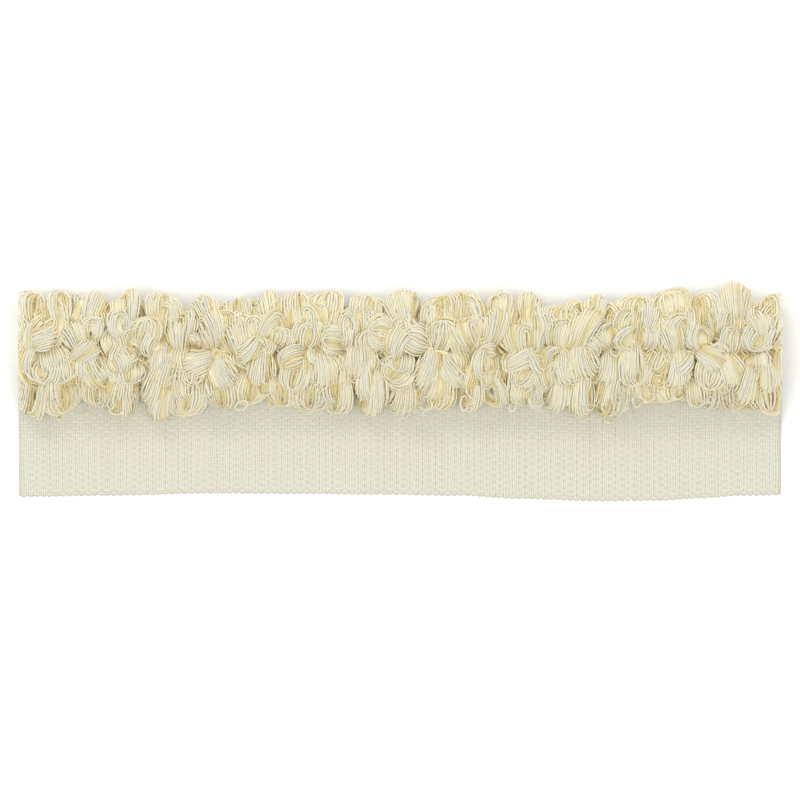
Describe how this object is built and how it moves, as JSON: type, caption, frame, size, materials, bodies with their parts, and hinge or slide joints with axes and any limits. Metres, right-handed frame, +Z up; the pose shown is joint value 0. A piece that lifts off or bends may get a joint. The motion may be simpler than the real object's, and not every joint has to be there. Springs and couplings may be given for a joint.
{
  "type": "ruched trim",
  "caption": "Cut length of ruched trim: a woven flange tape with a thick ruche of looped yarn bundles along one edge.",
  "frame": {"origin": "centre of the whole length's footprint, on the surface that it lies on", "axes": "+X along the trim, +Y from the flange tape's free edge towards the ruche, +Z up out of the trim's face"},
  "size_m": [0.1256, 0.0356, 0.0118],
  "materials": {
    "tape_cloth": "matte ivory plain-weave cotton tape",
    "looped_yarn": "soft cream plied yarn with silky straw-gold strands"
  },
  "bodies": {
    "root": {"flange_tape": "tape_cloth", "looped_ruche": "looped_yarn"}
  },
  "joints": []
}
